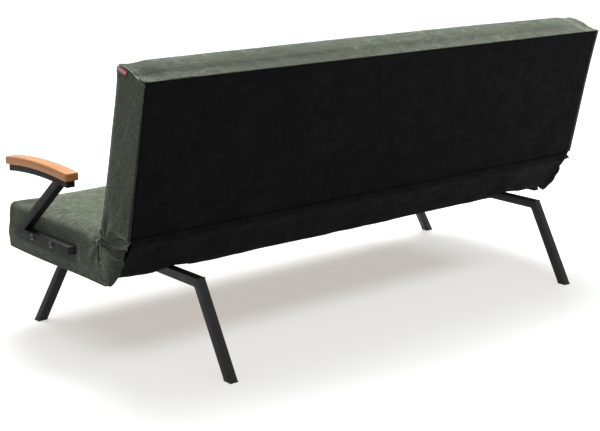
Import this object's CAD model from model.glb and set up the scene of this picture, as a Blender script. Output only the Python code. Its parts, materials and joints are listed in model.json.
import json
import math

import bmesh
import bpy
import numpy as np
from mathutils import Matrix, Vector, noise
from mathutils.bvhtree import BVHTree


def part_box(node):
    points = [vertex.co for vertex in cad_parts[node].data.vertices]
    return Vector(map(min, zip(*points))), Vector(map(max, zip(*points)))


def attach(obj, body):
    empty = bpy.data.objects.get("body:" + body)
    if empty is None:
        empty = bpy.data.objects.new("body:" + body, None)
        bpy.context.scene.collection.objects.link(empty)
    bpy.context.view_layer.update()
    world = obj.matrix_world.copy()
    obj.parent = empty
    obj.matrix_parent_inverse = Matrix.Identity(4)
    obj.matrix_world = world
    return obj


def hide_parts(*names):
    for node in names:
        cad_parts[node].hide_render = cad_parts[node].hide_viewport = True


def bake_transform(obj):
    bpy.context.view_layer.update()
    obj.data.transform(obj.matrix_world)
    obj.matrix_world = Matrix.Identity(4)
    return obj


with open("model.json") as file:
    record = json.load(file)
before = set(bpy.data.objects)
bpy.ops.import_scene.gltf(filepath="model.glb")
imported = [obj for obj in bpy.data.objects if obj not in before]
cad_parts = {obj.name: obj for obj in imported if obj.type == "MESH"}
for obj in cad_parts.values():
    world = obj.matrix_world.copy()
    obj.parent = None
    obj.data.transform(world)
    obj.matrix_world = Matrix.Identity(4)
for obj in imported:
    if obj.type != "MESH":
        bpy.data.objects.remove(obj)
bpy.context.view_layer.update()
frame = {"nodes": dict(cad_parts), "record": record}
scene = bpy.context.scene
print('frame loaded:', len(frame["nodes"]), 'nodes')

# camera, floor and lights: the floor darkens under the sofa and fades to white away from it

cameraLook = {
    'azimuth': 140.38, 'elevation': 14.45, 'distance': 4.8493,
    'target': (0.0115, -0.1267, 0.2735), 'lens': 79.6, 'sensor': 36,
}
floorLook = {
    'size': 40, 'drop': 0.0004, 'colour': (0.43, 0.45, 0.47, 1), 'cloudy': (0.40, 0.42, 0.44, 1),
    'glow': (0.52, 0.485, 0.445, 1), 'farGlow': (1, 1, 1, 1), 'mirrored': (0.50, 0.49, 0.475, 1),
    'whiteFrom': 1.15, 'whiteAt': 2.25, 'oval': (1, 1.61, 0),
    'lit': (0.684, 0.674, 0.644, 1), 'shadeX': (0.10, 0.66, 0.98), 'shadeY': (-0.25, 0.19, 0.42),
}
worldLook = {'colour': (1, 0.975, 0.945, 1), 'diffuse': 0.17, 'glossy': 0.75}
lights = [
    {'name': 'keyLight', 'at': (-2.2, -3.0, 8.0), 'aim': (0.1, 0.2, 0.2), 'size': (5.4, 4.2),
     'watts': 1120, 'colour': (1, 0.99, 0.97)},
    {'name': 'topLight', 'at': (1.2, 2.4, 5.4), 'aim': (0.2, 0.4, 0), 'size': (5.0, 3.0),
     'watts': 60, 'colour': (1, 1, 1)},
    {'name': 'nearFill', 'at': (5.2, 0.6, 2.4), 'aim': (0.6, 0, 0.4), 'size': (2.4, 2.4),
     'watts': 15, 'colour': (1, 0.985, 0.96)},
]


def towards(azimuth, elevation):
    a, e = math.radians(azimuth), math.radians(elevation)
    return Vector((math.sin(a) * math.cos(e), -math.cos(a) * math.cos(e), math.sin(e)))


def makeCamera():
    look = cameraLook
    data = bpy.data.cameras.new('camera')
    data.lens, data.sensor_width = look['lens'], look['sensor']
    data.clip_end = 200
    eye = bpy.data.objects.new('camera', data)
    back = towards(look['azimuth'], look['elevation'])
    eye.location = Vector(look['target']) + back * look['distance']
    eye.rotation_euler = (-back).to_track_quat('-Z', 'Y').to_euler()
    scene.collection.objects.link(eye)
    scene.camera = eye


def makeLights():
    for look in lights:
        data = bpy.data.lights.new(look['name'], 'AREA')
        data.shape = 'RECTANGLE'
        data.size, data.size_y = look['size']
        data.energy, data.color = look['watts'], look['colour']
        lamp = bpy.data.objects.new(look['name'], data)
        lamp.location = look['at']
        lamp.rotation_euler = (Vector(look['aim']) - lamp.location).to_track_quat('-Z', 'Y').to_euler()
        scene.collection.objects.link(lamp)


# small tools for nodes


def addNode(tree, kind, inputs=None, **settings):
    made = tree.nodes.new(kind)
    for name, value in settings.items():
        setattr(made, name, value)
    for name, value in (inputs or {}).items():
        plug(tree, made.inputs[name], value)
    return made


def plug(tree, socket, value):
    if isinstance(value, bpy.types.NodeSocket):
        tree.links.new(value, socket)
    else:
        socket.default_value = value


def mixColour(tree, factor, a, b, blend='MIX'):
    made = tree.nodes.new('ShaderNodeMix')
    made.data_type, made.blend_type = 'RGBA', blend
    for index, value in ((0, factor), (6, a), (7, b)):
        plug(tree, made.inputs[index], value)
    return made.outputs[2]


def maths(tree, operation, a, b=0.0, c=0.0, clamp=False):
    made = addNode(tree, 'ShaderNodeMath', operation=operation, use_clamp=clamp)
    for index, value in enumerate((a, b, c)):
        plug(tree, made.inputs[index], value)
    return made.outputs[0]


def times(tree, a, b):
    return maths(tree, 'MULTIPLY', a, b)


def plus(tree, a, b, clamp=False):
    return maths(tree, 'ADD', a, b, clamp=clamp)


def minus(tree, a, b, clamp=False):
    return maths(tree, 'SUBTRACT', a, b, clamp=clamp)


def noiseOf(tree, vector, scale, detail=2.0, rough=0.5):
    made = addNode(tree, 'ShaderNodeTexNoise',
                   {'Vector': vector, 'Scale': scale, 'Detail': detail, 'Roughness': rough})
    return made.outputs['Fac']


def spread(tree, value, low, high, to=(0.0, 1.0), smooth=True):
    made = addNode(tree, 'ShaderNodeMapRange', {'Value': value, 'From Min': low, 'From Max': high,
                                                'To Min': to[0], 'To Max': to[1]})
    if smooth:
        made.interpolation_type = 'SMOOTHSTEP'
    return made.outputs['Result']


def stretched(tree, vector, scale, turn=(0, 0, 0)):
    made = addNode(tree, 'ShaderNodeMapping', {'Vector': vector, 'Scale': scale, 'Rotation': turn})
    return made.outputs['Vector']


def newGroup(name, inputs, outputs):
    tree = bpy.data.node_groups.new(name, 'ShaderNodeTree')
    kinds = {'vector': 'NodeSocketVector', 'colour': 'NodeSocketColor', 'value': 'NodeSocketFloat'}
    for label, kind, value in inputs:
        socket = tree.interface.new_socket(name=label, in_out='INPUT', socket_type=kinds[kind])
        if value is not None:
            socket.default_value = value
    for label, kind in outputs:
        tree.interface.new_socket(name=label, in_out='OUTPUT', socket_type=kinds[kind])
    return tree, tree.nodes.new('NodeGroupInput').outputs, tree.nodes.new('NodeGroupOutput').inputs


def useGroup(tree, group, inputs):
    made = tree.nodes.new('ShaderNodeGroup')
    made.node_tree = group
    for name, value in inputs.items():
        plug(tree, made.inputs[name], value)
    return made.outputs


# shared shader groups


def makeYarnMix():
    tree, given, out = newGroup('yarnMix', [
        ('Vector', 'vector', None), ('Dark', 'colour', (0.05, 0.06, 0.05, 1)),
        ('Middle', 'colour', (0.13, 0.15, 0.12, 1)), ('Light', 'colour', (0.3, 0.32, 0.27, 1)),
        ('Flecks', 'value', 0.5)],
        [('Color', 'colour'), ('Height', 'value'), ('Mask', 'value')])
    where = given['Vector']
    fine = noiseOf(tree, where, 620, 2, 0.6)
    clump = noiseOf(tree, stretched(tree, where, (1, 1, 1), (0.4, 0.7, 0.2)), 150, 3, 0.6)
    streak = noiseOf(tree, stretched(tree, where, (0.55, 1, 1)), 78, 2, 0.6)
    patch = noiseOf(tree, where, 26, 3, 0.55)
    broad = noiseOf(tree, where, 4.5, 2, 0.5)
    tone = plus(tree, times(tree, clump, 0.58), times(tree, fine, 0.42))
    for wave, share in ((streak, 0.34), (patch, 0.15), (broad, 0.12)):
        tone = plus(tree, tone, times(tree, minus(tree, wave, 0.5), share))
    dark = spread(tree, tone, 0.52, 0.36)
    light = spread(tree, tone, 0.52, 0.68)
    colour = mixColour(tree, dark, given['Middle'], given['Dark'])
    colour = mixColour(tree, light, colour, given['Light'])
    turnedWhere = stretched(tree, where, (1, 1, 1), (1.1, 0.3, 0.9))
    fleck = spread(tree, noiseOf(tree, turnedWhere, 330, 1, 0.4), 0.62, 0.72)
    colour = mixColour(tree, times(tree, fleck, given['Flecks']), colour, given['Light'])
    tree.links.new(colour, out['Color'])
    height = plus(tree, times(tree, fine, 0.6), times(tree, clump, 0.4))
    tree.links.new(height, out['Height'])
    tree.links.new(light, out['Mask'])
    return tree


def makePlainWeave():
    tree, given, out = newGroup('plainWeave', [
        ('Vector', 'vector', None), ('Threads', 'value', 700.0), ('Unevenness', 'value', 0.15)],
        [('Height', 'value'), ('Mask', 'value')])
    wander = noiseOf(tree, given['Vector'], 18, 2, 0.5)
    parts = addNode(tree, 'ShaderNodeSeparateXYZ', {'Vector': given['Vector']}).outputs
    waves = []
    for label in ('X', 'Y'):
        along = times(tree, parts[label], given['Threads'])
        along = plus(tree, along, times(tree, wander, times(tree, given['Unevenness'], 20.0)))
        waves.append(maths(tree, 'SINE', times(tree, along, math.pi)))
    over = times(tree, waves[0], waves[1])
    tree.links.new(maths(tree, 'MULTIPLY_ADD', over, 0.5, 0.5), out['Height'])
    tree.links.new(spread(tree, over, -0.2, 0.6), out['Mask'])
    return tree


def makeGrime():
    tree, given, out = newGroup('grime', [
        ('Vector', 'vector', None), ('Specks', 'value', 0.5), ('Haze', 'value', 0.5)],
        [('Mask', 'value'), ('Rough', 'value')])
    where = given['Vector']
    specks = spread(tree, noiseOf(tree, where, 210, 2, 0.7), 0.66, 0.8)
    haze = spread(tree, noiseOf(tree, where, 7, 4, 0.6), 0.4, 0.75)
    mask = plus(tree, times(tree, specks, given['Specks']),
                 times(tree, haze, given['Haze']), clamp=True)
    tree.links.new(mask, out['Mask'])
    tree.links.new(noiseOf(tree, where, 34, 3, 0.6), out['Rough'])
    return tree


def makeTimber():
    tree, given, out = newGroup('timber', [
        ('Vector', 'vector', None), ('Early', 'colour', (0.6, 0.4, 0.2, 1)),
        ('Late', 'colour', (0.4, 0.25, 0.12, 1)), ('Fleck', 'colour', (0.3, 0.15, 0.08, 1)),
        ('Rings', 'value', 60.0), ('Flecks', 'value', 0.4)],
        [('Color', 'colour'), ('Height', 'value'), ('Rough', 'value')])
    where = given['Vector']      # the grain runs along its Y
    drawn = stretched(tree, where, (1, 0.055, 1))
    bend = noiseOf(tree, drawn, 16, 3, 0.5)
    parts = addNode(tree, 'ShaderNodeSeparateXYZ', {'Vector': drawn}).outputs
    ring = times(tree, plus(tree, parts['Z'], times(tree, parts['X'], 0.35)),
                 given['Rings'])
    ring = plus(tree, ring, times(tree, bend, 6.0))
    ring = maths(tree, 'FRACT', ring)
    late = spread(tree, ring, 0.45, 0.98)
    streaks = spread(tree, noiseOf(tree, drawn, 60, 2, 0.5), 0.3, 0.7, (0.45, 0.9))
    tone = times(tree, late, streaks)
    colour = mixColour(tree, tone, given['Early'], given['Late'])
    rays = spread(tree, noiseOf(tree, stretched(tree, where, (1, 0.16, 1)), 620, 1, 0.3), 0.62, 0.74)
    colour = mixColour(tree, times(tree, rays, given['Flecks']), colour, given['Fleck'])
    broad = spread(tree, noiseOf(tree, where, 6, 2, 0.5), 0.3, 0.7, (0.0, 0.22))
    colour = mixColour(tree, broad, colour, given['Late'])
    tree.links.new(colour, out['Color'])
    tree.links.new(minus(tree, times(tree, late, 0.4), rays), out['Height'])
    tree.links.new(noiseOf(tree, drawn, 120, 2, 0.5), out['Rough'])
    return tree


def newMaterial(name):
    made = bpy.data.materials.new(name)
    made.use_nodes = True
    tree = made.node_tree
    tree.nodes.clear()
    shader = tree.nodes.new('ShaderNodeBsdfPrincipled')
    output = tree.nodes.new('ShaderNodeOutputMaterial')
    tree.links.new(shader.outputs['BSDF'], output.inputs['Surface'])
    return made, tree, shader.inputs, addNode(tree, 'ShaderNodeTexCoord').outputs


def setPlain(shader, **values):
    names = {'rough': 'Roughness', 'sheen': 'Sheen Weight', 'sheenRough': 'Sheen Roughness',
             'tint': 'Sheen Tint', 'coat': 'Coat Weight', 'coatRough': 'Coat Roughness',
             'specular': 'Specular IOR Level'}
    for key, value in values.items():
        shader[names[key]].default_value = value


def bump(tree, shader, height, distance):
    made = addNode(tree, 'ShaderNodeBump', {'Height': height, 'Distance': distance})
    tree.links.new(made.outputs['Normal'], shader['Normal'])


yarnMix, plainWeave, grime, timber = makeYarnMix(), makePlainWeave(), makeGrime(), makeTimber()

# finishes

woolLook = {
    'dark': (0.012, 0.019, 0.011, 1), 'middle': (0.048, 0.0565, 0.0435, 1),
    'light': (0.146, 0.162, 0.131, 1), 'flecks': 0.6, 'threads': 820, 'rough': (0.82, 0.97),
    'nap': (0.43, 0.95), 'fuzz': (4.75, 4.8, 4.7, 1), 'bump': 0.0011,
    'sheen': 0.62, 'sheenRough': 0.36, 'tint': (0.88, 0.95, 0.80, 1), 'specular': 0.12,
}
liningLook = {
    'black': (0.0045, 0.0043, 0.0045, 1), 'worn': (0.0115, 0.0105, 0.0100, 1), 'threads': 1500,
    'rough': (0.72, 0.92), 'bump': 0.0004, 'specular': 0.06, 'sheen': 0.03, 'sheenRough': 0.5,
}
steelLook = {
    'clean': (0.0135, 0.0135, 0.0132, 1), 'dirty': (0.05, 0.05, 0.048, 1), 'specks': 0.22, 'haze': 0.16,
    'rough': (0.34, 0.52), 'grain': (480, 2, 0.5), 'bump': 0.00035, 'specular': 0.32,
}
zincLook = {
    'clean': (0.62, 0.63, 0.62, 1), 'dirty': (0.33, 0.32, 0.29, 1), 'specks': 0.4, 'haze': 0.7,
    'rough': (0.26, 0.48), 'metal': (1.0, 0.75), 'drawn': (1, 1, 0.2), 'grain': (700, 2, 0.5), 'bump': 0.0002,
}
plasticLook = {
    'clean': (0.012, 0.012, 0.013, 1), 'dirty': (0.055, 0.052, 0.048, 1), 'specks': 0.5, 'haze': 0.35,
    'rough': (0.5, 0.68), 'grain': (1400, 1, 0.4), 'bump': 0.00012,
}
beechLook = {
    'early': (0.64, 0.270, 0.088, 1), 'late': (0.52, 0.195, 0.056, 1), 'fleck': (0.36, 0.110, 0.030, 1),
    'rings': 70.0, 'coat': 0.2, 'rough': (0.36, 0.54),
}
pineLook = {
    'early': (0.66, 0.49, 0.30, 1), 'late': (0.46, 0.28, 0.13, 1), 'fleck': (0.36, 0.2, 0.1, 1),
    'rings': 110.0, 'coat': 0.0, 'rough': (0.6, 0.8),
}
stainLook = {
    'early': (0.020, 0.019, 0.018, 1), 'late': (0.012, 0.0115, 0.011, 1), 'fleck': (0.032, 0.030, 0.028, 1),
    'rings': 110.0, 'coat': 0.0, 'rough': (0.7, 0.88),
}


def roughen(tree, shader, value, limits):
    plug(tree, shader['Roughness'], spread(tree, value, 0.3, 0.7, limits))


def makeWool(name, look, lift=1.0):
    made, tree, shader, coords = newMaterial(name)
    dark, middle, light = (tuple(lift * c for c in look[key][:3]) + (1,)
                           for key in ('dark', 'middle', 'light'))
    yarn = useGroup(tree, yarnMix, {'Vector': coords['Object'], 'Dark': dark, 'Middle': middle,
                                    'Light': light, 'Flecks': look['flecks']})
    weave = useGroup(tree, plainWeave, {'Vector': coords['UV'], 'Threads': look['threads']})
    shade = mixColour(tree, times(tree, weave['Mask'], 0.35), dark, yarn['Color'])
    colour = mixColour(tree, 0.72, shade, yarn['Color'])
    facing = addNode(tree, 'ShaderNodeLayerWeight', {'Blend': 0.5}).outputs['Facing']
    nap = spread(tree, facing, *look['nap'], smooth=False)        # light caught by the nap
    bright = mixColour(tree, 1.0, colour, look['fuzz'], 'MULTIPLY')
    plug(tree, shader['Base Color'], mixColour(tree, nap, colour, bright))
    roughen(tree, shader, yarn['Height'], look['rough'])
    bump(tree, shader, plus(tree, times(tree, weave['Height'], 0.5), yarn['Height']), look['bump'])
    setPlain(shader, sheen=look['sheen'], sheenRough=look['sheenRough'], tint=look['tint'],
             specular=look['specular'])
    return made


def makeLining(name, look):
    made, tree, shader, coords = newMaterial(name)
    weave = useGroup(tree, plainWeave, {'Vector': coords['UV'], 'Threads': look['threads'],
                                        'Unevenness': 0.3})
    dirt = useGroup(tree, grime, {'Vector': coords['Object'], 'Specks': 0.35, 'Haze': 0.5})
    colour = mixColour(tree, dirt['Mask'], look['black'], look['worn'])
    colour = mixColour(tree, times(tree, weave['Mask'], 0.4), colour, look['worn'])
    plug(tree, shader['Base Color'], colour)
    roughen(tree, shader, dirt['Rough'], look['rough'])
    bump(tree, shader, weave['Height'], look['bump'])
    setPlain(shader, specular=look['specular'], sheen=look['sheen'], sheenRough=look['sheenRough'])
    return made


def makeCoated(name, look):
    made, tree, shader, coords = newMaterial(name)      # powder coat, zinc plate or moulded plastic
    dirt = useGroup(tree, grime, {'Vector': coords['Object'], 'Specks': look['specks'], 'Haze': look['haze']})
    plug(tree, shader['Base Color'], mixColour(tree, dirt['Mask'], look['clean'], look['dirty']))
    roughen(tree, shader, dirt['Rough'], look['rough'])
    if 'metal' in look:
        plug(tree, shader['Metallic'], spread(tree, dirt['Mask'], 0.0, 1.0, look['metal']))
    where = stretched(tree, coords['Object'], look['drawn']) if 'drawn' in look else coords['Object']
    bump(tree, shader, noiseOf(tree, where, *look['grain']), look['bump'])
    if 'specular' in look:
        setPlain(shader, specular=look['specular'])
    return made


def makeTimberFinish(name, look):
    made, tree, shader, coords = newMaterial(name)
    grain = useGroup(tree, timber, {'Vector': coords['Object'], 'Early': look['early'], 'Late': look['late'],
                                    'Fleck': look['fleck'], 'Rings': look['rings']})
    plug(tree, shader['Base Color'], grain['Color'])
    roughen(tree, shader, grain['Rough'], look['rough'])
    bump(tree, shader, grain['Height'], 0.00025)
    setPlain(shader, coat=look['coat'], coatRough=0.25, specular=0.35)
    return made


ribbonLook = {
    'ground': (0.50, 0.030, 0.070, 1), 'border': (0.16, 0.006, 0.014, 1), 'middle': (0.86, 0.42, 0.50, 1),
    'threads': 60.0, 'fold': 0.22,      # the fold's place along the ribbon
}


def makeRibbon(look):
    made, tree, shader, coords = newMaterial('redRibbon')
    weave = useGroup(tree, plainWeave, {'Vector': coords['UV'], 'Threads': look['threads']})
    parts = addNode(tree, 'ShaderNodeSeparateXYZ', {'Vector': coords['UV']}).outputs
    fold = maths(tree, 'ABSOLUTE', minus(tree, parts['Y'], look['fold']))
    colour = mixColour(tree, spread(tree, fold, 0.10, 0.05), look['ground'], look['middle'])
    rim = maths(tree, 'MAXIMUM', spread(tree, maths(tree, 'ABSOLUTE', parts['X']), 0.80, 0.92),
                spread(tree, fold, 0.11, 0.17))
    colour = mixColour(tree, rim, colour, look['border'])
    colour = mixColour(tree, times(tree, weave['Mask'], 0.25), colour, look['ground'])
    plug(tree, shader['Base Color'], colour)
    plug(tree, shader['Roughness'], spread(tree, weave['Height'], 0.0, 1.0, (0.36, 0.55)))
    bump(tree, shader, weave['Height'], 0.0003)
    setPlain(shader, sheen=0.5, sheenRough=0.3, tint=(1, 0.8, 0.85, 1))
    return made


def makeFloorFinish():
    made, tree, shader, coords = newMaterial('studioFloor')
    look = floorLook
    centred = stretched(tree, coords['Object'], look['oval'])
    away = addNode(tree, 'ShaderNodeVectorMath', operation='LENGTH')
    tree.links.new(centred, away.inputs[0])
    far = spread(tree, away.outputs['Value'], look['whiteFrom'], look['whiteAt'], smooth=False)
    parts = addNode(tree, 'ShaderNodeSeparateXYZ', {'Vector': coords['Object']}).outputs
    clear = []
    for label, (middle, low, high) in (('X', look['shadeX']), ('Y', look['shadeY'])):
        off = maths(tree, 'ABSOLUTE', minus(tree, parts[label], middle))
        clear.append(spread(tree, off, low, high))
    clear = minus(tree, plus(tree, *clear), times(tree, *clear))
    faint = spread(tree, noiseOf(tree, coords['Object'], 1.1, 2, 0.5), 0.3, 0.7, (0.0, 1.0))
    plug(tree, shader['Base Color'], mixColour(tree, faint, look['colour'], look['cloudy']))
    glow = mixColour(tree, clear, look['glow'], look['lit'])
    glow = mixColour(tree, far, glow, look['farGlow'])
    ray = addNode(tree, 'ShaderNodeLightPath').outputs         # the glow is seen, but lights nothing
    glow = mixColour(tree, ray['Is Glossy Ray'], glow, look['mirrored'])
    plug(tree, shader['Emission Color'], mixColour(tree, ray['Is Diffuse Ray'], glow, (0, 0, 0, 1)))
    shader['Emission Strength'].default_value = 1.0
    setPlain(shader, rough=0.8, specular=0.1)
    return made


def makeWorld():
    world = bpy.data.worlds.new('studio')
    world.use_nodes = True
    tree = world.node_tree
    tree.nodes.clear()
    look = worldLook
    ray = addNode(tree, 'ShaderNodeLightPath').outputs
    dimmer = times(tree, ray['Is Diffuse Ray'], 1 - look['diffuse'])
    dimmer = plus(tree, dimmer, times(tree, ray['Is Glossy Ray'], 1 - look['glossy']))
    sky = addNode(tree, 'ShaderNodeBackground', {
        'Color': mixColour(tree, ray['Is Diffuse Ray'], (1, 1, 1, 1), look['colour']),
        'Strength': minus(tree, 1.0, dimmer, clamp=True)})
    tree.links.new(sky.outputs[0], addNode(tree, 'ShaderNodeOutputWorld').inputs['Surface'])
    scene.world = world
    scene.view_settings.view_transform = 'Standard'
    scene.view_settings.look = 'None'


wool = makeWool('woolCover', woolLook)
woolSeam = makeWool('woolSeam', woolLook, 3.3)
lining = makeLining('blackLining', liningLook)
steel = makeCoated('powderCoat', steelLook)
armSteel = makeCoated('satinArmCoat', dict(steelLook, rough=(0.46, 0.62), specular=0.14))
boltSteel = makeCoated('blackenedBolt', dict(steelLook, rough=(0.22, 0.36), specular=0.8))
zinc, plastic = makeCoated('zincPlate', zincLook), makeCoated('blackPlastic', plasticLook)
ribbon = makeRibbon(ribbonLook)
beech = makeTimberFinish('lacqueredBeech', beechLook)
pine = makeTimberFinish('planedPine', pineLook)
stained = makeTimberFinish('blackStainedPine', stainLook)
print('finishes made')

# small tools for meshes


def pieceOf(mesh, name, finish, sharp=35):
    mesh.name = name
    mesh.materials.clear()
    mesh.materials.append(finish)
    mesh.shade_smooth()
    if sharp < 180:
        mesh.set_sharp_from_angle(angle=math.radians(sharp))
    piece = bpy.data.objects.new(name, mesh)
    scene.collection.objects.link(piece)
    return piece


def pieceFrom(bm, name, finish, sharp=35):
    mesh = bpy.data.meshes.new(name)
    bm.to_mesh(mesh)
    bm.free()
    return pieceOf(mesh, name, finish, sharp)


def settle(piece, body, slotName, *nodes):
    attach(piece, body)
    if nodes:
        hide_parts(*nodes)
    return piece


def prism(outline, low, high):
    bm = bmesh.new()             # a right prism along X from (y, z) points
    face = bm.faces.new([bm.verts.new((low, y, z)) for y, z in outline])
    grown = bmesh.ops.extrude_face_region(bm, geom=[face])['geom']
    moved = [v for v in grown if isinstance(v, bmesh.types.BMVert)]
    bmesh.ops.translate(bm, vec=(high - low, 0, 0), verts=moved)
    bmesh.ops.recalc_face_normals(bm, faces=bm.faces)
    return bm


def boxMesh(low, high):
    bm = bmesh.new()
    bmesh.ops.create_cube(bm, size=1)
    low, high = Vector(low), Vector(high)
    place = Matrix.Translation((low + high) / 2) @ Matrix.Diagonal((*(high - low), 1))
    bmesh.ops.transform(bm, matrix=place, verts=bm.verts)
    return bm


def rounded(bm, edges, offset, segments=3):
    bmesh.ops.bevel(bm, geom=edges, offset=offset, offset_type='OFFSET', affect='EDGES', segments=segments,
                    profile=0.5, material=-1, clamp_overlap=True)


def mirrorX(bm):
    bmesh.ops.scale(bm, vec=(-1, 1, 1), verts=bm.verts)
    bmesh.ops.reverse_faces(bm, faces=bm.faces)
    return bm


def coordinates(mesh):
    points = np.zeros(len(mesh.vertices) * 3, np.float32)
    mesh.vertices.foreach_get('co', points)
    return points.reshape(-1, 3).astype(float)


def setCoordinates(mesh, points):
    mesh.vertices.foreach_set('co', points.astype(np.float32).ravel())
    mesh.update()


def normalsOf(mesh):
    values = np.zeros(len(mesh.vertices) * 3, np.float32)
    mesh.vertex_normals.foreach_get('vector', values)
    return values.reshape(-1, 3).astype(float)


def withModifiers(piece):
    bpy.context.view_layer.update()
    graph = bpy.context.evaluated_depsgraph_get()
    return bpy.data.meshes.new_from_object(piece.evaluated_get(graph))


def applyModifiers(piece):
    made, old = withModifiers(piece), piece.data
    piece.modifiers.clear()
    piece.data = made
    bpy.data.meshes.remove(old)


def smoothstep(value, low, high):
    t = np.clip((value - low) / (high - low), 0, 1)
    return t * t * (3 - 2 * t)


def ease(value, low, high):
    t = min(max((value - low) / (high - low), 0), 1)
    return t * t * (3 - 2 * t)


def noiseField(points, scale, seed):
    shift = Vector((seed * 3.17, seed * 1.91, seed * 2.43))
    return np.array([noise.noise(Vector(p) * scale + shift) for p in points])


def boxUv(mesh, turn=None):
    layer = mesh.uv_layers.get('clothUv') or mesh.uv_layers.new(name='clothUv')
    points = coordinates(mesh)
    facing = np.zeros(len(mesh.polygons) * 3, np.float32)
    mesh.polygons.foreach_get('normal', facing)
    facing = facing.reshape(-1, 3)
    if turn is not None:        # the piece's own frame, so that the threads run with its edges
        spin = np.array(turn.to_3x3().inverted())
        points, facing = points @ spin.T, facing @ spin.T
    counts = np.zeros(len(mesh.polygons), np.int32)
    mesh.polygons.foreach_get('loop_total', counts)
    owners = np.repeat(np.abs(facing).argmax(1), counts)
    corners = np.zeros(len(mesh.loops), np.int32)
    mesh.loops.foreach_get('vertex_index', corners)
    pairs = np.array([[1, 2], [0, 2], [0, 1]])[owners]
    uv = np.take_along_axis(points[corners], pairs, 1)
    layer.data.foreach_set('uv', uv.astype(np.float32).ravel())


def sweepRing(path, radius, sides=8, closed=False):
    bm = bmesh.new()             # a round cord of cloth or wire along a path, from rings that are bridged
    path = [Vector(p) for p in path]
    rings, last = [], len(path) - 1
    for i, point in enumerate(path):
        ahead = path[(i + 1) % len(path)] if closed or i < last else point
        behind = path[i - 1] if closed or i > 0 else point
        along = (ahead - behind).normalized()
        place = Matrix.Translation(point) @ along.to_track_quat('Z', 'Y').to_matrix().to_4x4()
        ring = bmesh.ops.create_circle(bm, segments=sides, radius=radius, matrix=place)['verts']
        rings.append(sorted({e for v in ring for e in v.link_edges}, key=lambda e: e.index))
    for i in range(len(rings) - (0 if closed else 1)):
        bmesh.ops.bridge_loops(bm, edges=rings[i] + rings[(i + 1) % len(rings)])
    if not closed:
        bmesh.ops.holes_fill(bm, edges=bm.edges, sides=0)
    bmesh.ops.recalc_face_normals(bm, faces=bm.faces)
    return bm


def smoothPath(points, steps=6):
    points = [Vector(p) for p in points]     # a curve through every point
    ends = [2 * points[0] - points[1], *points, 2 * points[-1] - points[-2]]
    made = []
    for a, b, c, d in zip(ends, ends[1:], ends[2:], ends[3:]):
        for k in range(steps):
            t = k / steps
            made.append(0.5 * (2 * b + (c - a) * t + (2 * a - 5 * b + 4 * c - d) * t * t
                               + (3 * b - a - 3 * c + d) * t * t * t))
    return made + [points[-1]]


# the back's own frame: local Y runs through the back, local Z up it

backPlace = {'crease': (0.110, 0.403), 'lean': 13.9}
backFrame = (Matrix.Translation((0, *backPlace['crease']))
             @ Matrix.Rotation(math.radians(-backPlace['lean']), 4, 'X'))


def inBack(x, t, s):
    return backFrame @ Vector((x, t, s))


# seat and back cushions

clothLook = {'frames': 20, 'quality': 5, 'pressure': 4.0, 'mass': 0.3, 'stretch': 15, 'bending': 1.2}
backLook = {
    'half': 1.0, 'voxel': 0.011, 'swell': 0.011, 'rear': 0.148,
    'outline': [(0.004, 0.003), (0.001, 0.586), (0.058, 0.590), (0.1478, 0.5705), (0.1478, 0.060)],
    'frontTop': 0.013, 'rearTop': 0.005, 'endEdge': 0.008, 'corner': 0.014, 'farFlare': 0.018,
}
seatLook = {
    'half': 1.0, 'voxel': 0.011, 'swell': 0.009, 'bottom': 0.268,
    'outline': [(-0.4735, 0.268), (-0.4845, 0.4185), (0.082, 0.4075), (0.106, 0.399), (0.1435, 0.268)],
    'frontTop': 0.0225, 'frontBottom': 0.008, 'endEdge': 0.010,
}


def edgesAt(bm, y, z, tolerance=1e-4):
    return [e for e in bm.edges if all(abs(v.co.y - y) < tolerance and abs(v.co.z - z) < tolerance
                                       for v in e.verts)]


def foamBlock(look, rounding):
    bm = prism(look['outline'], -look['half'], look['half'])
    for corner, radius in rounding:
        rounded(bm, edgesAt(bm, *look['outline'][corner]), radius, 5)
    ends = [e for e in bm.edges if abs(abs(e.verts[0].co.x) - look['half']) < 1e-5
            and abs(e.verts[0].co.x - e.verts[1].co.x) < 1e-5]
    rounded(bm, ends, look['endEdge'], 4)
    return bm


def remeshed(bm, name, voxel):
    piece = pieceFrom(bm, name, wool, 180)
    grid = piece.modifiers.new('grid', 'REMESH')
    grid.mode, grid.voxel_size, grid.adaptivity = 'VOXEL', voxel, 0
    applyModifiers(piece)
    return piece


def swell(piece, held, freedom, cap):
    look = clothLook
    rest = coordinates(piece.data)
    group = piece.vertex_groups.new(name='held')
    group.add([int(i) for i in np.flatnonzero(held)], 1.0, 'REPLACE')
    cloth = piece.modifiers.new('cloth', 'CLOTH')
    settings = cloth.settings
    settings.quality, settings.mass = look['quality'], look['mass']
    settings.tension_stiffness = settings.compression_stiffness = look['stretch']
    settings.bending_stiffness = look['bending']
    settings.use_pressure, settings.uniform_pressure_force = True, look['pressure']
    settings.effector_weights.gravity = 0
    settings.vertex_group_mass = 'held'
    cloth.collision_settings.use_collision = False
    cloth.point_cache.frame_start, cloth.point_cache.frame_end = 1, look['frames']
    for number in range(1, look['frames'] + 1):
        scene.frame_set(number)
    moved = withModifiers(piece)
    shift = coordinates(moved) - rest
    bpy.data.meshes.remove(moved)
    piece.modifiers.remove(cloth)
    piece.vertex_groups.clear()
    scene.frame_set(1)
    length = np.linalg.norm(shift, axis=1)
    shift *= (cap * np.tanh(length / cap) / np.maximum(length, 1e-9) * freedom)[:, None]
    setCoordinates(piece.data, rest + shift)
    print(piece.name, 'swelled by up to', round(float(np.linalg.norm(shift, axis=1).max()) * 1000, 1), 'mm')


def subdivided(piece):
    finer = piece.modifiers.new('finer', 'SUBSURF')
    finer.levels = finer.render_levels = 1
    applyModifiers(piece)


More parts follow.
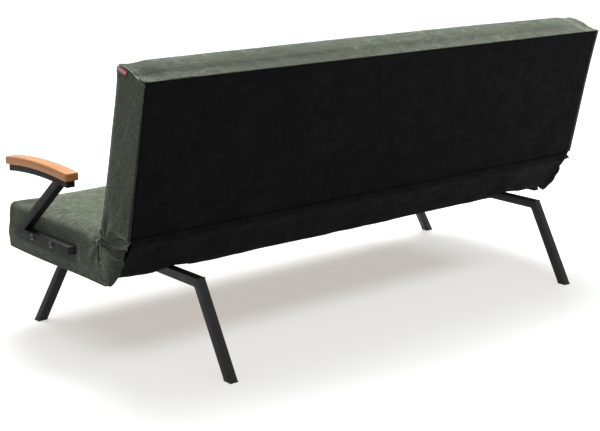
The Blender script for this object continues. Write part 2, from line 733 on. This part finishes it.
def carve(piece, *cutters):
    for number, bm in enumerate(cutters):
        tool = pieceFrom(bm, f'cutter{number}', wool)
        cut = piece.modifiers.new('cut', 'BOOLEAN')
        cut.operation, cut.solver, cut.object = 'DIFFERENCE', 'EXACT', tool
        applyModifiers(piece)
        bpy.data.objects.remove(tool)


def pinchFolds(points, normals, centre, reach, height, folds, seed):
    for side in (1, -1):         # small folds that run out from the point where seat and back meet
        away = points - np.array((side * centre[0], centre[1], centre[2]))
        distance = np.linalg.norm(away, axis=1)
        near = distance < reach
        if not near.any():
            continue
        turn = np.arctan2(away[near, 2], away[near, 1] + 0.4 * side * away[near, 0])
        ripple = np.sin(turn * folds + seed + 9 * distance[near])
        fade = smoothstep(distance[near], reach, reach * 0.25) * smoothstep(distance[near], 0, reach * 0.2)
        points[near] += normals[near] * (ripple * fade * height)[:, None]


def covered(piece, body, pad, turn=None):
    piece.data.shade_smooth()
    piece.data.set_sharp_from_angle(angle=math.radians(55))
    boxUv(piece.data, turn)
    settle(piece, body, 'wool_cover', pad)
    return piece


def makeBack():
    look = backLook
    bm = foamBlock(look, [(1, look['frontTop']), (2, 0.030), (3, look['rearTop']), (0, 0.006)])
    piece = remeshed(bm, 'backCushion', look['voxel'])
    local = coordinates(piece.data)
    x, t, s = local.T
    slope = (s - 0.003) - (t - 0.004) * (0.057 / 0.1438)      # height above the slanting underside
    held = (t > look['rear'] - 0.006) | (slope < 0.004)
    freedom = (1 - 0.75 * smoothstep(t, 0.10, 0.146)) * (0.25 + 0.75 * smoothstep(slope, 0.0, 0.06))
    freedom *= 1 - 0.45 * smoothstep(np.abs(x), 0.975, 0.992)
    swell(piece, held, freedom, look['swell'])
    subdivided(piece)
    mesh = piece.data
    local, facing = coordinates(mesh), normalsOf(mesh)
    x, t, s = local.T
    out = np.abs(x)
    rise = 0.006 + 0.004 * (1 - out ** 2) - 0.010 * smoothstep(out, 0.90, 1.0)
    local[:, 2] += rise * smoothstep(s, 0.45, 0.58) * smoothstep(t, 0.150, 0.09)
    sharp = np.maximum(smoothstep(t, 0.06, 0.13), smoothstep(s, 0.12, 0.03))
    sharp = smoothstep(out, 0.955, 0.988) * np.maximum(sharp, 0.55)
    local[:, 1] -= 0.007 * smoothstep(t, 0.05, 0.0) * smoothstep(out, 0.94, 0.995) * smoothstep(s, 0.0, 0.05)
    local[:, 0] = np.sign(x) * np.minimum(out + 0.011 * sharp, np.maximum(out, 1.0005))
    local[:, 1] += 0.009 * smoothstep(t, 0.10, 0.140) * smoothstep(s, 0.03, 0.09)     # a tight edge behind
    flare = look['farFlare'] * smoothstep(s, 0.50, 0.02) * smoothstep(-x, 0.80, 1.0)
    local[:, 0] -= flare
    corner, low = look['corner'], 0.060
    over = (s < low + corner) & (np.abs(x) > 1.0 - corner) & (t > 0.05)      # soft lower corners behind
    dx, ds = np.abs(x) - (1.0 - corner), (low + corner) - s
    far = np.maximum(np.hypot(dx, ds), 1e-9)
    pull = np.where(over & (far > corner), 1 - corner / far, 0) * smoothstep(t, 0.05, 0.13)
    local[:, 0] -= np.sign(x) * dx * pull
    local[:, 2] += ds * pull
    broad = noiseField(local, 5.0, 3) * 0.0016 + noiseField(local, 17.0, 5) * 0.0007
    local += facing * (broad * smoothstep(t, 0.147, 0.12))[:, None]
    local[:, 1] = np.minimum(local[:, 1], look['rear'])
    pinchFolds(local, facing, (1.0, 0.03, 0.02), 0.11, 0.0026, 7, 0.4)
    setCoordinates(mesh, local)
    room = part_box('back_top_board')[1].x + 0.0004          # the boards and hinge plates sit in these hollows
    carve(piece, boxMesh((-room, 0.0627, -0.1), (room, 0.3, 0.5584)),
          boxMesh((-room, 0.020, -0.1), (room, 0.100, 0.0624)),
          *(boxMesh((side * 0.92 - 0.02, 0.010, -0.05), (side * 0.92 + 0.02, 0.060, 0.042))
            for side in (-1, 1)))
    piece.data.transform(backFrame)
    return covered(piece, 'back', 'back_pad', backFrame)


def makeSeat():
    look = seatLook
    bm = foamBlock(look, [(1, look['frontTop']), (0, look['frontBottom']), (2, 0.012), (3, 0.006)])
    piece = remeshed(bm, 'seatCushion', look['voxel'])
    points = coordinates(piece.data)
    x, y, z = points.T
    held = (z < look['bottom'] + 0.006)
    freedom = (0.35 + 0.65 * smoothstep(z, 0.27, 0.33)) * (1 - 0.9 * smoothstep(y, 0.03, 0.10))
    freedom *= 1 - 0.5 * smoothstep(np.abs(x), 0.975, 0.992)
    swell(piece, held, freedom, look['swell'])
    subdivided(piece)
    mesh = piece.data
    points, facing = coordinates(mesh), normalsOf(mesh)
    x, y, z = points.T
    broad = noiseField(points, 4.5, 11) * 0.0018 + noiseField(points, 15.0, 12) * 0.0008
    points += facing * (broad * smoothstep(y, 0.10, 0.06) * smoothstep(z, 0.268, 0.30))[:, None]
    sharp = smoothstep(np.abs(x), 0.955, 0.988) * smoothstep(z, 0.36, 0.30)       # a tight lower edge
    points[:, 0] = np.sign(x) * np.minimum(np.abs(x) + 0.012 * sharp, np.maximum(np.abs(x), 1.0005))
    points[:, 2] -= 0.008 * smoothstep(z, 0.305, 0.274)
    sag = (0.0052 + 0.0022 * np.sin((y + 0.47) * 9.5)) * smoothstep(z, 0.30, 0.27)   # uneven lower edge
    points[:, 2] = np.maximum(points[:, 2], look['bottom']) - sag * smoothstep(np.abs(x), 0.95, 0.99)
    belly = smoothstep(z, 0.27, 0.32) * smoothstep(z, 0.405, 0.36) * smoothstep(np.abs(x), 0.97, 0.995)
    points[:, 0] += np.sign(x) * 0.004 * belly
    tubeLow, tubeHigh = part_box('armrest_frame_right')
    near = smoothstep(y, tubeLow.y - 0.05, tubeLow.y + 0.01) * smoothstep(y, tubeHigh.y + 0.02, -0.02)
    press = smoothstep(z, 0.285, 0.325) * near                   # the armrest's tube presses into the end
    limit = 0.9996 + 0.006 * (1 - press)
    points[:, 0] = np.clip(points[:, 0], -limit, limit)
    pinchFolds(points, facing, (1.0, 0.11, 0.395), 0.10, 0.0030, 8, 1.3)
    points[:, 0] = np.clip(points[:, 0], -limit, limit)
    setCoordinates(mesh, points)
    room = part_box('seat_end_board_right')[1].x + 0.0004
    carve(piece, boxMesh((-room, -0.4624, 0.1), (room, 0.4, 0.369)))
    return covered(piece, 'base', 'seat_pad')


# seams


def layOn(piece, points, lift):
    tree = BVHTree.FromObject(piece, bpy.context.evaluated_depsgraph_get())
    laid = []
    for point in points:
        place, facing, _, _ = tree.find_nearest(point)
        laid.append(place + facing * lift)
    return laid


seamLook = {'radius': 0.0021, 'lift': 0.0005}


def makeSeam(name, piece, points, body):
    path = layOn(piece, smoothPath(points, 8), seamLook['lift'])
    return settle(pieceFrom(sweepRing(path, seamLook['radius']), name, woolSeam, 180), body, 'wool_cover')


def makeSeams(back):
    front = [(0.003, 0.022), (0.002, 0.15), (0.001, 0.30), (0.001, 0.45), (0.001, 0.54), (0.006, 0.566)]
    top = [(0.006, 0.566), (0.030, 0.574), (0.058, 0.576), (0.085, 0.572), (0.115, 0.5655), (0.1465, 0.557)]
    for side, word in ((1, 'right'), (-1, 'left')):
        for label, line in (('Front', front), ('Top', top)):
            points = [inBack(side * 0.9985, t, s) for t, s in line]
            makeSeam(f'back{label}Seam_{word}', back, points, 'back')


# black lining on the back and under the seat

panelLook = {
    'half': 0.9975, 'far': 0.9885, 'top': 0.5680, 'bottom': 0.0605, 'columns': 220, 'rows': 60,
    'corner': 0.015, 'depth': 0.1485, 'thick': 0.0008,
}


def clothGrid(columns, rows):
    bm = bmesh.new()             # a flat cloth over x -1 to 1 and y 0 to 1
    bmesh.ops.create_grid(bm, x_segments=columns, y_segments=rows, size=1)
    bmesh.ops.transform(bm, matrix=Matrix.Translation((0, 0.5, 0)) @ Matrix.Diagonal((1, 0.5, 1, 1)),
                        verts=bm.verts)
    return bm


def addUv(bm, width, height):
    layer = bm.loops.layers.uv.new('clothUv')
    for face in bm.faces:
        for corner in face.loops:
            corner[layer].uv = (corner.vert.co.x * width, corner.vert.co.y * height)


def thicken(piece, thick, offset=0.0, even=True):
    wall = piece.modifiers.new('wall', 'SOLIDIFY')
    wall.thickness, wall.offset, wall.use_even_offset = thick, offset, even


def makePanel():
    look = panelLook
    bm = clothGrid(look['columns'], look['rows'])
    addUv(bm, look['half'], look['top'] - look['bottom'])
    for vertex in bm.verts:
        u, v = vertex.co.x, vertex.co.y
        side = 1 if u > 0 else -1
        flare = backLook['farFlare'] * (1 - v) ** 1.6
        edge = look['half'] - 0.008 * (1 - v) if side > 0 else look['far'] + flare
        edge += 0.0012 * noise.noise(Vector((side * 3.1, v * 9, 0.4)))
        low = look['bottom'] + 0.0012 * noise.noise(Vector((u * 7, 2.2, 0.7)))
        x, s = u * edge, low + v * (look['top'] - low)
        dx, ds = abs(x) - (edge - look['corner']), (low + look['corner']) - s
        if dx > 0 and ds > 0:
            far = max(dx, ds) / math.hypot(dx, ds) if math.hypot(dx, ds) > 0 else 1
            x, s = x - side * dx * (1 - far), s + ds * (1 - far)
        inside = min(1, (1 - abs(u)) * 9) * min(1, v * 9) * min(1, (1 - v) * 14)
        ripple = 0.0014 * noise.noise(Vector((x * 2.3, s * 5.5, 1.0)))
        ripple += 0.0010 * noise.noise(Vector((x * 3.0, s * 26, 5.0))) * (1 - v)
        pull = math.sin((x + s * 0.6) * 31) * 0.0007 * math.exp(-s * 9)
        vertex.co = inBack(x, look['depth'] + inside * (0.0012 + ripple + pull), s)
    bmesh.ops.recalc_face_normals(bm, faces=bm.faces)
    piece = pieceFrom(bm, 'backPanel', lining, 180)
    thicken(piece, look['thick'])
    settle(piece, 'back', 'dust_cover', 'back_panel')


def makeDustCover():
    low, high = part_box('seat_dust_cover')
    middle = (low.z + high.z) / 2
    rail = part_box('side_rail_right')
    bm = clothGrid(160, 60)
    addUv(bm, high.x, high.y - low.y)
    for vertex in bm.verts:
        x, y = vertex.co.x * high.x, low.y + vertex.co.y * (high.y - low.y)
        open_ = 1.0
        for held, reach in ((abs(abs(x) - rail[0].x), 0.05), (abs(abs(x) - rail[1].x), 0.05),
                            (high.x - abs(x), 0.05), (y - low.y, 0.05), (high.y - y, 0.05),
                            (abs(y + 0.35), 0.06), (abs(y), 0.06)):
            open_ *= min(1.0, max(0.0, (held - 0.02) / reach))
        if rail[0].x < abs(x) < rail[1].x:
            open_ = 0
        ripple = 0.5 + 0.5 * noise.noise(Vector((x * 4, y * 9, 2)))
        vertex.co = (x, y, middle - open_ * (0.004 + 0.003 * ripple))
    bmesh.ops.reverse_faces(bm, faces=bm.faces)
    piece = pieceFrom(bm, 'seatLining', lining, 180)
    thicken(piece, 0.0008)
    settle(piece, 'base', 'dust_cover', 'seat_dust_cover')


# cloth across the hinge

flapLook = {
    'half': 0.9895, 'columns': 260, 'rows': 40, 'thick': 0.0010,
    'line': [(0.1172, 0.2932), (0.148, 0.2915), (0.178, 0.302), (0.206, 0.334), (0.234, 0.369),
             (0.2560, 0.3960), (0.2688, 0.4115), (0.2730, 0.4245), (0.2760, 0.4365)],
    'sag': 0.0115, 'lowest': 0.2812,
}
gussetLook = {
    'seam': [(0.118, 0.424), (0.114, 0.416), (0.109, 0.408), (0.104, 0.397), (0.100, 0.383),
             (0.098, 0.366), (0.098, 0.348), (0.099, 0.330), (0.102, 0.314), (0.110, 0.301),
             (0.127, 0.285), (0.1475, 0.2705)],
    'inner': [(0.126, 0.425), (0.123, 0.417), (0.120, 0.409), (0.122, 0.399), (0.126, 0.384),
              (0.124, 0.366), (0.119, 0.349), (0.116, 0.332), (0.116, 0.316), (0.122, 0.302),
              (0.138, 0.288), (0.1515, 0.2715)],
    'edge': [(0.2760, 0.436), (0.2790, 0.428), (0.277, 0.4180), (0.258, 0.405), (0.246, 0.389),
             (0.243, 0.372), (0.238, 0.356), (0.229, 0.340), (0.217, 0.323), (0.203, 0.304),
             (0.184, 0.284), (0.160, 0.2685)],
    'columns': 64, 'rows': 84, 'thick': 0.0016, 'ridge': 2 / 11, 'droop': 0.0115, 'face': 1.0030,
}


def pointOn(points, share):
    place = share * (len(points) - 1)
    index = min(int(place), len(points) - 2)
    return points[index].lerp(points[index + 1], place - index)


def makeFlap():
    look = flapLook
    line = smoothPath([(0, y, z) for y, z in look['line']], 8)
    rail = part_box('side_rail_right')
    lift = (rail[0].x + rail[1].x) / 2
    bm = clothGrid(look['columns'], look['rows'])
    addUv(bm, look['half'], 0.2)
    for vertex in bm.verts:
        u, v = vertex.co.x, vertex.co.y
        x = u * look['half']
        point = pointOn(line, v)
        loose = math.sin(math.pi * min(1, max(0, v))) ** 0.8
        over = math.exp(-((abs(x) - lift) / 0.05) ** 2)          # the rails hold the cloth up
        ends = min(1, (look['half'] - abs(x)) / 0.05)
        sag = look['sag'] * (1 - over) * (1 - 0.5 * ease(abs(x), 0.84, 0.96))
        sag *= 0.85 + 0.25 * noise.noise(Vector((x * 2.1, 0.3, 4)))
        wave = 0.0026 * noise.noise(Vector((x * 7, v * 1.6, 7)))
        wave += 0.0010 * noise.noise(Vector((x * 30, v * 3, 2)))
        fold = 0.0012 * math.sin(x * 31 + 2 * math.sin(x * 11) + v * 2)
        low = math.exp(-((v - 0.26) / 0.20) ** 2)
        loose *= ease(v, 0.85, 0.6)
        out = loose * ends * (wave + fold)
        normal = Vector((0, 0.8, -0.6))
        place = Vector((x, point.y, point.z)) + normal * out - Vector((0, 0, sag * low * ends))
        place.y += 0.004 * (1 - ends) * loose
        place.z = max(place.z, look['lowest'])
        if over > 0.2 and place.y < 0.21:
            place.z = max(place.z, rail[1].z + 0.0012)
        vertex.co = place
    bmesh.ops.recalc_face_normals(bm, faces=bm.faces)
    piece = pieceFrom(bm, 'hingeFlap', lining, 180)
    thicken(piece, look['thick'])
    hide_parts('hinge_flap')
    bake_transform(piece)


def makeGussets():
    look = gussetLook
    seam, inner, edge = (smoothPath([(0, y, z) for y, z in look[key]], 8)
                         for key in ('seam', 'inner', 'edge'))
    for side, word in ((1, 'right'), (-1, 'left')):
        bm = clothGrid(look['columns'], look['rows'])
        addUv(bm, 0.07, 0.14)
        for vertex in bm.verts:
            u, v = (vertex.co.x + 1) / 2, 1 - vertex.co.y       # u from the seat's seam out, v downwards
            a, b, c = pointOn(seam, v), pointOn(inner, v), pointOn(edge, v)
            point = a.lerp(b, u / 0.22) if u < 0.22 else b.lerp(c, (u - 0.22) / 0.78)
            width = max(0.0, (u - 0.22) / 0.78)
            bow = math.sin(math.pi * min(1, width))
            point.z -= look['droop'] * bow * math.exp(-((v - look['ridge']) / 0.13) ** 2)
            lower = max(0.0, v - look['ridge']) / (1 - look['ridge'])
            belly = 0.0065 * bow * math.sin(math.pi * min(1, 0.08 + lower * 0.92)) if lower > 0 else 0
            tuck = 0.007 * width ** 2.4 * min(1, lower * 5)
            ridge = math.exp(-((v - look['ridge']) / 0.034) ** 2) * min(1, u * 7) * (1 - 0.35 * width)
            valley = math.exp(-((v - look['ridge'] - 0.080) / 0.036) ** 2)
            valley = valley * min(1, width * 5) * (1 - 0.4 * width)
            second = math.exp(-((v - 0.36 - 0.10 * width) / 0.030) ** 2) * ease(width, 0.25, 0.8)
            under = ease(v, look['ridge'], 0.0)              # it runs in under the back's end
            seamDip = 0.0022 * math.exp(-((u - 0.11) / 0.07) ** 2) * min(1, lower * 8)
            x = look['face'] + belly - tuck - seamDip
            x = x + 0.0095 * ridge - 0.0100 * valley + 0.0030 * second - 0.0100 * under
            crease = math.sin(v * 21 + u * 6) * 0.0012 * max(0.0, width - 0.35) * min(1, lower * 4)
            slack = 0.0020 * math.sin(v * 27) * width ** 3 * min(1, lower * 4)
            vertex.co = (side * (x + crease), point.y + slack, point.z)
        bmesh.ops.recalc_face_normals(bm, faces=bm.faces)
        if bm.faces[:][len(bm.faces) // 2].normal.x * side < 0:
            bmesh.ops.reverse_faces(bm, faces=bm.faces)
        piece = pieceFrom(bm, f'endGusset_{word}', wool, 180)
        thicken(piece, look['thick'], -1.0)
        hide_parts(f'end_gusset_{word}')
        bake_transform(piece)
        for label, share in (('Outer', 0.012), ('Inner', 0.22)):
            lines = [pointOn(seam, v).lerp(pointOn(inner, v), share / 0.22)
                     for v in np.linspace(0.19, 0.99, 40)]
            path = layOn(piece, [(side * 1.02, p.y, p.z) for p in lines], 0.0010)
            welt = pieceFrom(sweepRing(path, seamLook['radius']), f'gusset{label}Seam_{word}', woolSeam, 180)
            settle(welt, 'base', 'wool_cover')


# red ribbon tab on the near top corner

tabLook = {'from': 0.010, 'to': 0.060, 'root': 0.5715, 'length': 0.0165, 'bulge': 0.0060, 'face': 1.0005}


def makeTab():
    look = tabLook
    bm = clothGrid(28, 32)
    addUv(bm, 1, 1)
    for vertex in bm.verts:
        u, v = vertex.co.x, vertex.co.y
        t = look['from'] + (u + 1) / 2 * (look['to'] - look['from'])
        turn = 2 * math.pi * v               # out of the seam, down to the fold and back up behind
        arch = 1 - 0.45 * u * u
        x = look['face'] + look['bulge'] * arch * (0.5 + 0.5 * math.sin(turn)) * (1 - 0.25 * math.cos(turn))
        down = (1 - math.cos(turn)) / 2
        s = look['root'] - 0.003 * u * u - look['length'] * down * (1 - 0.22 * abs(u) ** 3)
        vertex.co = inBack(x, t, s)
    bmesh.ops.recalc_face_normals(bm, faces=bm.faces)
    piece = pieceFrom(bm, 'ribbonTab', ribbon, 180)
    thicken(piece, 0.0007, even=False)
    settle(piece, 'back', 'red_tab', 'corner_tab')


# square tube underframe and armrest frames


def softened(node, radius, shortest, segments=3):
    bm = bmesh.new()
    bm.from_mesh(frame["nodes"][node].data)
    bmesh.ops.remove_doubles(bm, verts=bm.verts, dist=1e-5)
    bmesh.ops.dissolve_limit(bm, angle_limit=math.radians(0.6), verts=bm.verts, edges=bm.edges,
                             use_dissolve_boundaries=False, delimit={'NORMAL'})
    edges = [e for e in bm.edges if len(e.link_faces) == 2 and e.is_convex and e.calc_length() > shortest
             and e.calc_face_angle() > math.radians(40)]
    rounded(bm, edges, radius, segments)
    return bm


tubeLook = {'radius': 0.0024, 'shortest': 0.05, 'bead': 0.0022}


def makeTubes():
    sides = ('left', 'right')
    tubes = [f'{node}_{word}' for node in ('side_rail', 'rear_leg', 'front_leg') for word in sides]
    for name in tubes + ['front_cross_tube', 'rear_cross_tube']:
        piece = pieceFrom(softened(name, tubeLook['radius'], tubeLook['shortest']), name + '_tube', steel)
        settle(piece, 'base', 'black_steel', name)
    for word in sides:
        name = f'armrest_frame_{word}'
        piece = pieceFrom(softened(name, 0.0020, 0.028), name + '_tube', armSteel)
        settle(piece, 'base', 'black_steel', name)
        for node in ('armrest_end_cap', 'rear_foot_glide', 'front_foot_glide'):
            name = f'{node}_{word}'
            piece = pieceFrom(softened(name, 0.0011, 0.024), name + '_moulding', plastic)
            settle(piece, 'base', 'black_plastic', name)


def weldRing(name, centre, across, up, half, body='base'):
    across, up = Vector(across).normalized(), Vector(up).normalized()
    corners = [(1, 1), (-1, 1), (-1, -1), (1, -1)]
    path = []
    for (ax, ay), (bx, by) in zip(corners, corners[1:] + corners[:1]):
        for k in range(9):
            px, py = ax + (bx - ax) * k / 9, ay + (by - ay) * k / 9
            path.append(Vector(centre) + across * px * half[0] + up * py * half[1])
    bm = sweepRing(path, tubeLook['bead'], 6, closed=True)
    for vertex in bm.verts:
        vertex.co += Vector((1, 1, 1)) * 0.0005 * noise.noise(vertex.co * 320)
    piece = pieceFrom(bm, name, steel, 180)
    return settle(piece, body, 'black_steel')


def makeWelds():
    for side, word in ((1, 'right'), (-1, 'left')):
        rail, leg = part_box(f'side_rail_{word}'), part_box(f'rear_leg_{word}')
        x = (rail[0].x + rail[1].x) / 2
        top = Vector((x, rail[1].y, rail[1].z))
        knee = Vector((x, leg[0].y, rail[0].z))
        middle = (top + knee) / 2
        up = (top - knee)
        weldRing(f'kneeWeld_{word}', middle, (1, 0, 0), up, (0.0141, up.length / 2 - 0.0008))
        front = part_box(f'front_leg_{word}')
        width = front[1].y - front[0].y
        shape = frame["nodes"][f'front_leg_{word}'].data
        topX = [v.co.x for v in shape.vertices if v.co.z > front[1].z - 0.001]
        middle = ((min(topX) + max(topX)) / 2, (front[0].y + front[1].y) / 2, front[1].z)
        weldRing(f'frontLegWeld_{word}', middle, (1, 0, 0), (0, 1, 0),
                 ((max(topX) - min(topX)) / 2 - 0.001, width / 2 - 0.001))


# armrest wood and its fixings

armLook = {
    'inner': 0.990, 'outer': 1.040, 'front': -0.400, 'rear': -0.010, 'thick': 0.0275, 'crown': 0.0115,
    'topFront': 0.589, 'topRear': 0.596, 'edge': 0.0065, 'screws': (-0.330, -0.210), 'bar': 0.0203,
}


def armTop(y):
    look = armLook
    share = (y - look['front']) / (look['rear'] - look['front'])
    return (look['topFront'] + share * (look['topRear'] - look['topFront'])
            + look['crown'] * (1 - (2 * share - 1) ** 2))


def makeArmWood():
    look = armLook
    for side, word in ((1, 'right'), (-1, 'left')):
        bm = boxMesh((look['inner'], look['front'], -look['thick']), (look['outer'], look['rear'], 0))
        rounded(bm, bm.edges[:], look['edge'], 5)
        for step in range(1, 28):
            y = look['front'] + step * (look['rear'] - look['front']) / 28
            bmesh.ops.bisect_plane(bm, geom=bm.verts[:] + bm.edges[:] + bm.faces[:], dist=1e-6,
                                   plane_co=(0, y, 0), plane_no=(0, 1, 0))
        for vertex in bm.verts:
            vertex.co.z += armTop(vertex.co.y)
        if side < 0:
            mirrorX(bm)
        bmesh.ops.recalc_face_normals(bm, faces=bm.faces)
        piece = pieceFrom(bm, f'armrestWood_{word}', beech, 60)
        settle(piece, 'base', 'beech', f'armrest_wood_{word}')


def turned(profile, sides):
    bm = bmesh.new()             # a lathe shape round X from (along, radius) points
    line = [bm.verts.new((a, 0, r)) for a, r in profile]
    edges = [bm.edges.new(pair) for pair in zip(line, line[1:])]
    bmesh.ops.spin(bm, geom=line + edges, cent=(0, 0, 0), axis=(1, 0, 0), angle=2 * math.pi, steps=sides,
                   use_merge=True)
    bmesh.ops.remove_doubles(bm, verts=bm.verts, dist=1e-6)
    bmesh.ops.recalc_face_normals(bm, faces=bm.faces)
    return bm


def merged(*parts):
    whole = bmesh.new()
    for part in parts:
        mesh = bpy.data.meshes.new('part')
        part.to_mesh(mesh)
        part.free()
        whole.from_mesh(mesh)
        bpy.data.meshes.remove(mesh)
    return whole


def hexNut(radius, low, high):
    bm = bmesh.new()
    place = Matrix.Translation(((low + high) / 2, 0, 0)) @ Matrix.Rotation(math.pi / 2, 4, 'Y')
    bmesh.ops.create_cone(bm, cap_ends=True, segments=6, radius1=radius, radius2=radius, depth=high - low,
                          matrix=place)
    rounded(bm, bm.edges[:], 0.0006, 2)
    return bm


boltLook = {'washer': 0.011, 'head': 0.0072, 'shank': 0.004, 'socket': 0.0026}


def makeArmBolts():
    look = boltLook
    for side, word in ((1, 'right'), (-1, 'left')):
        for place in ('front', 'rear'):
            node = f'armrest_bolt_{place}_{word}'
            low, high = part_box(node)
            face = (high.x if side > 0 else -low.x) - 0.0063       # outer face of the tube
            y, z = (low.y + high.y) / 2, (low.z + high.z) / 2
            nut = (low.x if side > 0 else -high.x)
            s, w, h = look['socket'], look['washer'], look['head']
            head = turned([(nut, 0.0), (nut, look['shank']), (face, look['shank']), (face, w - 0.0006),
                           (face + 0.0006, w), (face + 0.0014, w), (face + 0.002, w - 0.0006),
                           (face + 0.002, h), (face + 0.0028, h), (face + 0.0046, h * 0.86),
                           (face + 0.0058, h * 0.62), (face + 0.0062, s * 1.25), (face + 0.0058, s * 1.05),
                           (face + 0.0034, s), (face + 0.0031, 0.0)], 36)
            for vertex in head.verts:
                radius = math.hypot(vertex.co.y, vertex.co.z)
                if vertex.co.x > face + 0.003 and 1e-4 < radius < s * 1.1:
                    turn = math.atan2(vertex.co.z, vertex.co.y) % (math.pi / 3) - math.pi / 6
                    vertex.co.yz = Vector(vertex.co.yz) * (0.92 / math.cos(turn))
            bm = merged(head, hexNut(0.0075, nut + 0.0055, nut + 0.012))
            bmesh.ops.translate(bm, vec=(0, y, z), verts=bm.verts)
            if side < 0:
                mirrorX(bm)
            piece = pieceFrom(bm, f'armrestBolt_{place}_{word}', boltSteel, 40)
            settle(piece, 'base', 'black_steel', node)


def screw(head, depth, shank, length, turn):
    bm = turned([(-length, 0.0), (-length + 0.003, shank), (0, shank), (0, head * 0.96), (0.0004, head),
                 (depth * 0.5, head * 0.93), (depth * 0.85, head * 0.66), (depth, head * 0.3),
                 (depth * 0.55, head * 0.2), (depth * 0.5, 0.0)], 20)
    bmesh.ops.transform(bm, matrix=turn, verts=bm.verts)
    return bm


screwLook = {'head': 0.0042, 'depth': 0.0024, 'shank': 0.0022, 'seat': {'x': 0.941, 'z': (0.332, 0.354)},
             'back': {'x': 0.897, 't': (0.056, 0.090), 's': 0.0591}}


def makeScrews():
    look = screwLook
    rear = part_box('seat_rear_board')[1].y + 0.0034
    faceBack = Matrix.Rotation(math.pi / 2, 4, 'Z')              # the head looks along +Y
    faceDown = Matrix.Rotation(math.pi / 2, 4, 'Y')              # the head looks along -Z
    for side, word in ((1, 'right'), (-1, 'left')):
        parts = [screw(look['head'], look['depth'], look['shank'], 0.018,
                       Matrix.Translation((side * look['seat']['x'], rear, z)) @ faceBack)
                 for z in look['seat']['z']]
        settle(pieceFrom(merged(*parts), f'seatHingeScrews_{word}', zinc, 40), 'base', 'zinc_steel')
        parts = [screw(look['head'], look['depth'], look['shank'], 0.018,
                       backFrame @ Matrix.Translation((side * look['back']['x'], t, look['back']['s']))
                       @ faceDown)
                 for t in look['back']['t']]
        settle(pieceFrom(merged(*parts), f'backHingeScrews_{word}', zinc, 40), 'back', 'zinc_steel')
        arm = armLook
        middle = (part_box(f'armrest_frame_{word}')[0].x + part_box(f'armrest_frame_{word}')[1].x) / 2
        parts = []
        for y in arm['screws']:
            under = armTop(y) - arm['thick'] - arm['bar']
            place = Matrix.Translation((middle, y, under)) @ faceDown
            parts.append(screw(0.0046, 0.0026, 0.0023, 0.034, place))
        settle(pieceFrom(merged(*parts), f'armrestScrews_{word}', boltSteel, 40), 'base', 'black_steel')


springLook = {'wire': 0.0006, 'radius': 0.0048, 'turns': 4, 'from': 0.9065, 'to': 0.9125}


def makePawlSprings():
    look = springLook
    for side, word in ((1, 'right'), (-1, 'left')):
        low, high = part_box(f'pawl_pin_{word}')
        y, z = (low.y + high.y) / 2, (low.z + high.z) / 2
        steps = look['turns'] * 14
        path = []
        for k in range(steps + 1):
            turn = 2 * math.pi * look['turns'] * k / steps
            x = look['from'] + (look['to'] - look['from']) * k / steps
            path.append((side * x, y + look['radius'] * math.cos(turn),
                         z + look['radius'] * math.sin(turn)))
        bm = sweepRing(path, look['wire'], 6)
        settle(pieceFrom(bm, f'pawlSpring_{word}', zinc, 180), 'back', 'zinc_steel')


creaseBoards = ('seat_rear_board', 'back_bottom_board')      # seen when the back lies flat


def dressNodes():
    finishes = {'zinc_steel': zinc, 'frame_wood': pine, 'black_steel': steel, 'black_plastic': plastic,
                'beech': beech, 'wool_cover': wool, 'dust_cover': lining, 'red_tab': ribbon}
    slots = {part['node']: part['material_slot'] for part in frame["record"]['subparts']}
    for name, node in frame["nodes"].items():
        node.data.materials.clear()
        node.data.materials.append(stained if name in creaseBoards else finishes[slots[name]])


makeCamera()
makeLights()
makeWorld()
floorMesh = bmesh.new()
bmesh.ops.create_grid(floorMesh, x_segments=8, y_segments=8, size=floorLook['size'] / 2)
bmesh.ops.translate(floorMesh, vec=(0, 0, -floorLook['drop']), verts=floorMesh.verts)
pieceFrom(floorMesh, 'floor', makeFloorFinish(), 180)
print('stage set')
dressNodes()
makeTubes()
makeWelds()
print('tubes made')
makeArmWood()
makeArmBolts()
makeScrews()
makePawlSprings()
print('armrests and fixings made')
backCushion = makeBack()
seatCushion = makeSeat()
print('cushions made')
makeSeams(backCushion)
makePanel()
makeDustCover()
makeFlap()
makeGussets()
makeTab()
print('lining, gussets and seams made')
